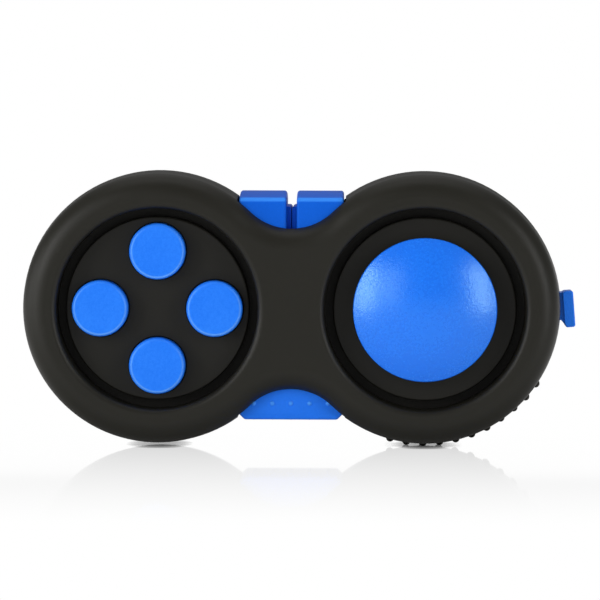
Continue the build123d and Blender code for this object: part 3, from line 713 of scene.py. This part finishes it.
@dataclass
class ButtonCluster:
    """Four push buttons over a rubber sheet with a collapsing dome under each."""

    sheet_radius: float = 13.0 * MM
    sheet_thickness: float = 0.8 * MM
    dome_base: float = 3.4 * MM
    dome_top: float = 1.7 * MM
    dome_wall: float = 0.5 * MM
    dome_height: float = 2.2 * MM
    post_clearance: float = 1.85 * MM
    post_pitch: float = 11.0 * MM
    travel: float = 1.2 * MM
    rest_gap: float = 0.2 * MM
    # colour and radius of the painted highlight round each button's edge
    highlight_colour: Colour = (0.13, 0.38, 0.98)
    highlight_radius: float = 3.82 * MM
    first_post: float = 45.0
    post_count: int = 4
    hole_facets: int = 64
    dome_facets: int = 40
    shoulder_width: float = 0.15 * MM
    shoulder_drop: float = 0.2 * MM
    buttons: tuple[str, ...] = ("button_top", "button_bottom", "button_left", "button_right")

    def _sheet(self, floor: Vector, centres: list[Vector]) -> bpy.types.Object:
        """Makes the flat sheet with a hole under each dome.

        Args:
            floor: centre of the sheet's rear face.
            centres: the domes' axes.

        Returns:
            The sheet.
        """
        shape = bmesh.new()
        facing = Matrix.Rotation(radians(90), 4, "X")
        holes = [(centre, self.dome_base - self.dome_wall) for centre in centres]
        for step in range(self.post_count):
            turn = radians(self.first_post + 360 * step / self.post_count)
            post = floor + Vector((cos(turn), 0, sin(turn))) * self.post_pitch
            holes.append((post, self.post_clearance))
        for centre, radius in [(floor, self.sheet_radius), *holes]:
            at = Matrix.Translation((centre.x, floor.y, centre.z)) @ facing
            bmesh.ops.create_circle(shape, segments=self.hole_facets, radius=radius, matrix=at)
        bmesh.ops.triangle_fill(shape, edges=shape.edges, use_beauty=True, use_dissolve=False)
        grown = bmesh.ops.extrude_face_region(shape, geom=shape.faces)
        verts = [part for part in grown["geom"] if isinstance(part, bmesh.types.BMVert)]
        bmesh.ops.translate(shape, verts=verts, vec=(0, -self.sheet_thickness, 0))
        return finished(shape, "rubber_sheet", "casing", CLEAR_RUBBER)

    def _dome(self, button: str, foot: Vector) -> bpy.types.Object:
        """Makes one hollow dome under a button.

        Args:
            button: the button over it.
            foot: centre of the dome's foot.

        Returns:
            The dome.
        """
        shape = bmesh.new()
        mouth, lift = self.dome_base - self.dome_wall, self.dome_height
        section = [
            (mouth, 0.0), (self.dome_base, 0.0),
            (self.dome_top + self.shoulder_width, lift - self.shoulder_drop),
            (self.dome_top - self.shoulder_width, lift),
            (0.0, lift), (0.0, lift - self.dome_wall),
            (self.dome_top - self.dome_wall, lift - self.dome_wall),
        ]
        lathe(shape, section, foot, Vector((0, -1, 0)), self.dome_facets)
        piece = finished(shape, button.replace("button", "dome"), "casing", CLEAR_RUBBER)
        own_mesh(piece)
        return piece

    def build(self) -> None:
        """Dresses the hard parts and makes the rubber ones."""
        for name in self.buttons:
            centre = middle_of(name)
            # each button's edge gets a painted highlight, strongest below
            edge = PaintedRimHighlight(self.highlight_colour, centre.x, centre.z, self.highlight_radius)
            dress(replace(BLUE_SATIN, mark=edge), name)
        dress(MATT_BLACK, "button_deck")
        dress(BOARD_BROWN, "backing_board")
        dress(PLATED_STEEL, "deck_screws")
        dress(CLEAR_RUBBER, "dome_membrane")
        floor = middle_of("dome_membrane")
        floor.y = box_of("dome_membrane")[1].y
        centres = [middle_of(name) for name in self.buttons]
        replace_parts(self._sheet(floor, centres), "dome_membrane")
        for name, centre in zip(self.buttons, centres):
            foot = Vector((centre.x, floor.y - self.sheet_thickness, centre.z))
            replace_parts(self._dome(name, foot), "dome_membrane")


@dataclass
class Joystick:
    """The grained thumb dome on its gimbal, over a black deck."""

    dome_rise: float = 3.0 * MM
    spring_radius: float = 2.0 * MM
    spring_wire: float = 0.45 * MM
    lower_turns: int = 1
    upper_turns: int = 2

    def _spring_part(self, name: str, foot: Vector, rise: float, turns: int) -> None:
        """Makes whole turns of the return spring, on no body.

        Args:
            name: the part's name.
            foot: centre of its foot.
            rise: how far the wire climbs.
            turns: number of turns.
        """
        shape = bmesh.new()
        forward = Vector((0, -1, 0))
        coil(shape, foot, forward, self.spring_radius, self.spring_wire, rise + self.spring_wire, turns)
        piece = finished(shape, name, None, SPRING_STEEL)
        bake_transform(piece)
        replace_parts(piece, "joystick_spring")

    def build(self) -> None:
        """Dresses the joystick and makes its spring."""
        low, high = box_of("joystick_cap")
        tip = ((low.x + high.x) / 2, low.y, (low.z + high.z) / 2)
        radius = ((high.x - low.x) ** 2 / 4 + self.dome_rise**2) / (2 * self.dome_rise)
        dress(replace(BLUE_GRAINED, crown=Crown(tip, radius)), "joystick_cap")
        dress(MATT_BLACK, "joystick_deck")
        dress(INNER_BLACK, "joystick_stem", "gimbal_ring", "joystick_base")
        dress(PLATED_STEEL, "stick_pin")
        dress(SPRING_STEEL, "joystick_spring")
        low, high = box_of("joystick_spring")
        foot = Vector(((low.x + high.x) / 2, high.y, (low.z + high.z) / 2))
        pitch = (high.y - low.y - self.spring_wire) / (self.lower_turns + self.upper_turns)
        rise = pitch * self.lower_turns
        self._spring_part("stick_spring_lower", foot, rise, self.lower_turns)
        waist = foot - Vector((0, rise, 0))
        self._spring_part("stick_spring_upper", waist, pitch * self.upper_turns, self.upper_turns)


@dataclass
class ShoulderKeys:
    """Two crowned keys in the top of the waist, each on a coil spring."""

    spring_radius: float = 1.75 * MM
    spring_wire: float = 0.45 * MM
    spring_turns: float = 5.0
    travel: float = 1.5 * MM
    crown: float = 0.95 * MM
    front: float = -19.4 * MM
    # colour of the painted highlight along each key's front top edge
    highlight_colour: Colour = (0.036, 0.24, 0.86)
    sides: tuple[str, ...] = ("left", "right")

    def build(self) -> None:
        """Dresses the keys and makes a coil spring under each."""
        for side in self.sides:
            # each key's front top edge gets a painted highlight
            edge = PaintedEdgeHighlight(self.highlight_colour, self.front, box_of(f"{side}_key")[1].z - self.crown)
            dress(replace(BLUE_SHADED_KEY, mark=edge), f"{side}_key")
            dress(SPRING_STEEL, f"{side}_key_spring")
            low, high = box_of(f"{side}_key_spring")
            foot = Vector(((low.x + high.x) / 2, (low.y + high.y) / 2, low.z))
            length = high.z - low.z
            shape = bmesh.new()
            coil(shape, foot, Vector((0, 0, 1)), self.spring_radius, self.spring_wire, length,
                 self.spring_turns)
            piece = finished(shape, f"{side}_return_spring", "casing", SPRING_STEEL)
            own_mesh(piece)
            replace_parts(piece, f"{side}_key_spring")


@dataclass
class GripPad:
    """The soft moulded block in the bottom of the waist, with pips on three faces."""

    half_width: float = 7.75 * MM
    corner: float = 0.9 * MM
    edge: float = 0.3 * MM
    pip_radius: float = 0.5 * MM
    pip_height: float = 0.2 * MM
    pip_pitch: float = 2.75 * MM
    pip_columns: int = 5
    pip_segments: int = 16
    pip_rings: int = 10
    front_pips_z: float = -14.0 * MM
    # colour of the painted highlight on the pips' tips
    tip_highlight_colour: Colour = (0.055, 0.27, 0.86)
    front: float = -19.3 * MM
    rear: float = -2.7 * MM
    lobe_offset: float = 19.75 * MM
    lobe_clearance: float = 16.30 * MM
    lobe_steps: int = 6
    edge_steps: int = 3
    sharp_angle: float = 25.0

    def _outline(self, top: float, bottom: float) -> list[tuple[float, float]]:
        """Outline in X and Z: chamfered below, cut by both lobes above.

        Args:
            top: height of its upper edge.
            bottom: height of its lower edge.

        Returns:
            The points, anticlockwise from the lower left.
        """
        right = [(self.half_width - self.corner, bottom), (self.half_width, bottom + self.corner)]
        first = acos((self.lobe_offset - self.half_width) / self.lobe_clearance)
        last = asin(-top / self.lobe_clearance)
        for step in range(self.lobe_steps + 1):
            turn = first + (last - first) * step / self.lobe_steps
            x = self.lobe_offset - self.lobe_clearance * cos(turn)
            right.append((x, -self.lobe_clearance * sin(turn)))
        left = [(-x, z) for x, z in reversed(right)]
        return right + left

    def build(self) -> None:
        """Makes the pad in place of its plain solid."""
        dress(BLUE_RUBBER, "grip_pad")
        low, high = box_of("grip_pad")
        bottom, top = low.z + self.pip_height, high.z
        shape = bmesh.new()
        verts = [shape.verts.new((x, self.front, z)) for x, z in self._outline(top, bottom)]
        face = shape.faces.new(verts)
        grown = bmesh.ops.extrude_face_region(shape, geom=[face])
        moved = [part for part in grown["geom"] if isinstance(part, bmesh.types.BMVert)]
        bmesh.ops.translate(shape, verts=moved, vec=(0, self.rear - self.front, 0))
        bmesh.ops.recalc_face_normals(shape, faces=shape.faces)
        sharp = [edge for edge in shape.edges if edge.calc_face_angle(0) > radians(self.sharp_angle)]
        bmesh.ops.bevel(shape, geom=sharp, offset=self.edge, offset_type="OFFSET", profile=0.5,
                        segments=self.edge_steps, affect="EDGES", material=-1, clamp_overlap=True)
        sink = self.pip_radius - self.pip_height
        half = (self.pip_columns - 1) / 2
        middle_y = (self.front + self.rear) / 2
        for column in range(self.pip_columns):
            x = (column - half) * self.pip_pitch
            spots = [Vector((x, y, self.front_pips_z)) for y in (self.front + sink, self.rear - sink)]
            spots += [Vector((x, middle_y + (row - half) * self.pip_pitch, bottom + sink))
                      for row in range(self.pip_columns)]
            for spot in spots:
                bmesh.ops.create_uvsphere(shape, u_segments=self.pip_segments, v_segments=self.pip_rings,
                                          radius=self.pip_radius, matrix=Matrix.Translation(spot))
        # the pips' tips get a painted highlight
        tips = PaintedTipHighlight(self.tip_highlight_colour, self.front, self.rear, bottom)
        skin = replace(BLUE_RUBBER, mark=tips)
        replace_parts(finished(shape, "rubber_grip", "casing", skin), "grip_pad")


@dataclass
class Toggle:
    """The flip paddle, its pin and the leaf that makes it click."""

    def build(self) -> None:
        """Dresses the toggle's parts."""
        dress(BLUE_SATIN, "toggle")
        dress(PLATED_STEEL, "toggle_pin")
        dress(SPRING_STEEL, "toggle_leaf")


@dataclass
class RearDiscs:
    """The spinning dial and the smooth worry pad in the rear."""

    def build(self) -> None:
        """Dresses both discs and the dial's fixings."""
        dress(BLUE_SATIN, "dial")
        dress(BLUE_POLISHED, "worry_pad")
        dress(PLATED_STEEL, "dial_washer", "dial_screw")


# --------------------------------------------------------------------- studio


@dataclass(frozen=True)
class SoftBox:
    """A rectangular lamp that faces the pad. Angles in degrees, sizes in metres, power in watts."""

    name: str
    azimuth: float
    elevation: float
    distance: float
    width: float
    height: float
    power: float


@dataclass
class Studio:
    """White floor and wall, soft boxes and the camera. Sizes in metres."""

    floor_half: float = 6.0
    wall_radius: float = 1.6
    wall_height: float = 0.11
    wall_gap: float = 0.03
    wall_light: float = 0.9
    wall_facets: int = 96
    room_light: float = 0.29
    half_length: float = 0.040  # of the pad's shade on the floor, along X
    half_depth: float = 0.011  # of the same, along Y
    shaded_reach: float = 0.020  # from that shade to the open floor
    mirror_strength: float = 0.35
    mirror_reach: float = 0.141  # where the floor's reflection has faded away
    mirror_fall: float = 1.4
    mirror_roughness: float = 0.035
    floor_grey: float = 0.9
    contact_grey: float = 0.35
    contact_reach: float = 0.0010  # how near to the floor a thing has to be to darken it
    contact_fall: float = 1.5
    contact_samples: int = 8
    camera_distance: float = 0.690
    camera_azimuth: float = 0.8
    camera_elevation: float = 2.6
    camera_roll: float = 0.2
    lens: float = 277.0
    nearest: float = 0.01
    farthest: float = 20.0
    aim: Vector = field(default_factory=lambda: Vector((1.19 * MM, -11.0 * MM, 0.94 * MM)))
    boxes: tuple[SoftBox, ...] = (
        SoftBox("strip_left", -52, 13, 0.6, 0.16, 0.40, 1.70),
        SoftBox("fill_left", -28, 18, 0.6, 0.14, 0.30, 0.36),
        SoftBox("wing_left", -84, 8, 0.6, 0.24, 0.24, 0.70),
        SoftBox("strip_right", 52, 13, 0.6, 0.16, 0.40, 1.35),
        SoftBox("overhead", 0, 88, 0.6, 0.60, 0.30, 0.72),
        SoftBox("rear_top", 180, 55, 0.6, 0.50, 0.30, 0.22),
    )

    def _white(self) -> bpy.types.Material:
        """Wall paint that looks white to the camera and in reflections, and lights the room a little less.

        Returns:
            The paint.
        """
        material = bpy.data.materials.new("wall_white")
        graph = Graph(material)
        seen = graph.rays("Is Camera Ray", "Is Glossy Ray", "Is Transmission Ray")
        surface = graph.either(seen, graph.emission(self.wall_light), graph.emission(1.0))
        graph.node("ShaderNodeOutputMaterial", {}, {"Surface": surface.outputs[0]})
        return material

    def _floor_paint(self) -> bpy.types.Material:
        """White acrylic floor: a close contact shadow and a sharp reflection that fades with distance.

        Returns:
            The paint, which rays other than the camera's see white away from the pad and matt under it.
        """
        material = bpy.data.materials.new("floor_white")
        graph = Graph(material)
        side, before, _ = graph.axes()
        beside = (side.size() - self.half_length).above()
        clear = ((before + self.half_depth).size() - self.half_depth).above()
        fade = (1 - beside.length(before) * (1 / self.mirror_reach)).above() ** self.mirror_fall
        nearby = graph.node("ShaderNodeAmbientOcclusion", {"samples": self.contact_samples},
                            {"Distance": self.contact_reach})
        open_air = Value(graph, nearby.outputs["AO"]) ** self.contact_fall
        white = graph.emission(1.0)
        base = graph.either(open_air, graph.diffuse(self.contact_grey), white)
        gloss = {"Color": WHITE, "Roughness": self.mirror_roughness}
        mirror = graph.node("ShaderNodeBsdfGlossy", {}, gloss)
        acrylic = graph.either(fade * self.mirror_strength, base, mirror)
        lit = beside.length(clear) * (1 / self.shaded_reach)
        mirrored = graph.rays("Is Glossy Ray", "Is Transmission Ray") * lit
        unseen = graph.either(mirrored, graph.diffuse(self.floor_grey), white)
        surface = graph.either(graph.rays("Is Camera Ray"), unseen, acrylic)
        graph.node("ShaderNodeOutputMaterial", {}, {"Surface": surface.outputs[0]})
        return material

    def _staged(self, name: str, shape: bmesh.types.BMesh, paint: bpy.types.Material) -> None:
        """Puts a piece of the studio into the scene.

        Args:
            name: its name.
            shape: its mesh.
            paint: its material.
        """
        mesh = bpy.data.meshes.new(name)
        shape.to_mesh(mesh)
        shape.free()
        mesh.materials.append(paint)
        panel = bpy.data.objects.new(name, mesh)
        bpy.context.scene.collection.objects.link(panel)

    def _room(self) -> None:
        """Lays the floor under the pad and hangs a low white wall round it."""
        ground = cad_box[0].z
        floor = bmesh.new()
        bmesh.ops.create_grid(floor, x_segments=1, y_segments=1, size=self.floor_half,
                              matrix=Matrix.Translation((0, 0, ground)))
        self._staged("floor", floor, self._floor_paint())
        wall = bmesh.new()
        middle = Matrix.Translation((0, 0, ground + self.wall_gap + self.wall_height / 2))
        bmesh.ops.create_cone(wall, cap_ends=False, segments=self.wall_facets, matrix=middle,
                              radius1=self.wall_radius, radius2=self.wall_radius, depth=self.wall_height)
        self._staged("wall", wall, self._white())

    @staticmethod
    def _seen_from(azimuth: float, elevation: float) -> Vector:
        """Direction from the pad to an azimuth and elevation, in degrees from its front."""
        turn, rise = radians(azimuth), radians(elevation)
        return Vector((sin(turn) * cos(rise), -cos(turn) * cos(rise), sin(rise)))

    def _lamp(self, box: SoftBox) -> None:
        """Hangs one soft box so that it faces the pad.

        Args:
            box: its place, size and power.
        """
        light = bpy.data.lights.new(box.name, "AREA")
        light.shape = "RECTANGLE"
        light.size = box.width
        light.size_y = box.height
        light.energy = box.power
        lamp = bpy.data.objects.new(box.name, light)
        outward = self._seen_from(box.azimuth, box.elevation)
        lamp.location = self.aim + outward * box.distance
        lamp.rotation_euler = (-outward).to_track_quat("-Z", "Y").to_euler()
        bpy.context.scene.collection.objects.link(lamp)

    def _world(self) -> None:
        """A dim room that the camera sees as white."""
        world = bpy.data.worlds.new("studio")
        bpy.context.scene.world = world
        graph = Graph(world)
        room, white = (graph.node("ShaderNodeBackground", {}, {"Color": WHITE, "Strength": strength})
                       for strength in (self.room_light, 1.0))
        air = graph.either(graph.rays("Is Camera Ray"), room, white)
        graph.node("ShaderNodeOutputWorld", {}, {"Surface": air.outputs[0]})

    def _camera(self) -> None:
        """Points the camera at the pad, a little from the right and above."""
        data = bpy.data.cameras.new("camera")
        data.lens = self.lens
        data.clip_start = self.nearest
        data.clip_end = self.farthest
        camera = bpy.data.objects.new("camera", data)
        back = self._seen_from(self.camera_azimuth, self.camera_elevation)
        camera.location = self.aim + back * self.camera_distance
        camera.rotation_mode = "QUATERNION"
        roll = Quaternion((0, 0, 1), radians(self.camera_roll))
        camera.rotation_quaternion = (-back).to_track_quat("-Z", "Y") @ roll
        bpy.context.scene.collection.objects.link(camera)
        bpy.context.scene.camera = camera

    def build(self) -> None:
        """Sets up floor, wall, lights, world and camera."""
        self._room()
        for box in self.boxes:
            self._lamp(box)
        self._world()
        self._camera()
        bpy.context.scene.view_settings.view_transform = "Standard"


def main() -> None:
    """Builds every sub-assembly, then the studio."""
    logging.basicConfig(level=logging.INFO, format="%(name)s: %(message)s")
    parts = (Casing(), ButtonCluster(), Joystick(), ShoulderKeys(), GripPad(), Toggle(), RearDiscs())
    for part in (*parts, Studio()):
        log.info("building %s", type(part).__name__)
        part.build()


if __name__ == "__main__":
    main()
